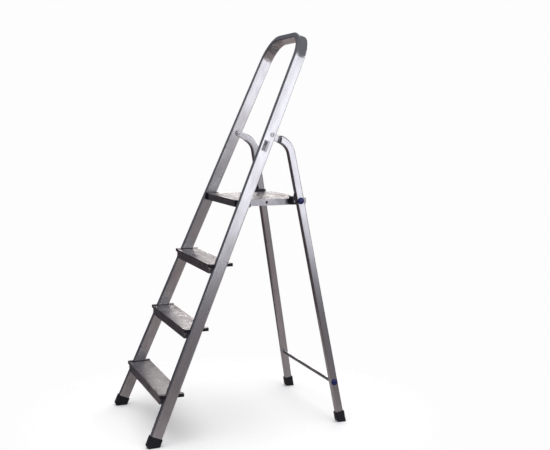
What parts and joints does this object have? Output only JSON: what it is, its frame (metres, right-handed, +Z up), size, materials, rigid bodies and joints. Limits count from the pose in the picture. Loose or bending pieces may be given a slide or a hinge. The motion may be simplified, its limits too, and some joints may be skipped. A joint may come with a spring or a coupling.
{
  "type": "platform step ladder",
  "caption": "Folding A-frame step ladder with flat treads, a hinged standing platform and a hand-rail hoop made of one bent tube.",
  "frame": {"origin": "on the floor, midway between the front stiles' and the rear legs' floor lines, in the middle plane", "axes": "+Z up, -Y towards the climber (treads face -Y), +X to the climber's right"},
  "size_m": [0.5208, 0.7396, 1.4],
  "materials": {
    "stile_aluminium": "mill finish, drawn, satin",
    "leg_aluminium": "mill finish, drawn, satin",
    "ribbed_aluminium": "mill finish, ribbed extrusion",
    "bar_aluminium": "mill finish",
    "tube_aluminium": "mill finish, drawn",
    "black_plastic": "moulded, fine grain",
    "blue_plastic": "moulded, smooth",
    "shoe_rubber": "moulded, dull",
    "rivet_steel": "zinc plated",
    "label_film": "blank printed film"
  },
  "bodies": {
    "front_frame": {"front_hoop": "stile_aluminium", "front_shoe_left": "shoe_rubber", "front_shoe_right": "shoe_rubber", "label_plate": "label_film", "pivot_rivet_left": "rivet_steel", "pivot_rivet_right": "rivet_steel", "pivot_washer_left": "rivet_steel", "pivot_washer_right": "rivet_steel", "platform_support": "bar_aluminium", "support_cap_left": "black_plastic", "support_cap_right": "black_plastic", "tread_1": "ribbed_aluminium", "tread_2": "ribbed_aluminium", "tread_3": "ribbed_aluminium", "tread_cap_1_left": "black_plastic", "tread_cap_1_right": "black_plastic", "tread_cap_2_left": "black_plastic", "tread_cap_2_right": "black_plastic", "tread_cap_3_left": "black_plastic", "tread_cap_3_right": "black_plastic"},
    "rear_frame": {"axle_cap_left": "blue_plastic", "axle_cap_right": "blue_plastic", "brace_cap_left": "blue_plastic", "brace_cap_right": "blue_plastic", "hinge_block_left": "black_plastic", "hinge_block_right": "black_plastic", "hinge_screws": "rivet_steel", "platform_axle": "tube_aluminium", "rear_brace": "tube_aluminium", "rear_leg_left": "leg_aluminium", "rear_leg_right": "leg_aluminium", "rear_shoe_left": "shoe_rubber", "rear_shoe_right": "shoe_rubber"},
    "platform": {"platform_bar_left": "bar_aluminium", "platform_bar_right": "bar_aluminium", "platform_corner_left": "black_plastic", "platform_corner_right": "black_plastic", "platform_deck": "ribbed_aluminium", "platform_nose": "ribbed_aluminium", "platform_rivets": "rivet_steel"}
  },
  "joints": [
    {"name": "rear_fold", "type": "hinge", "parent": "front_frame", "child": "rear_frame", "pos_m": [0, 0.10765, 1.03696], "axis": [-1, 0, 0], "range_deg": [0, 33]},
    {"name": "platform_hinge", "type": "hinge", "parent": "rear_frame", "child": "platform", "pos_m": [0, 0.20983, 0.8025], "axis": [-1, 0, 0], "range_deg": [0, 80]}
  ],
  "couplings": [
    {"joint": "platform_hinge", "follows": "rear_fold", "ratio": 2.4242}
  ]
}
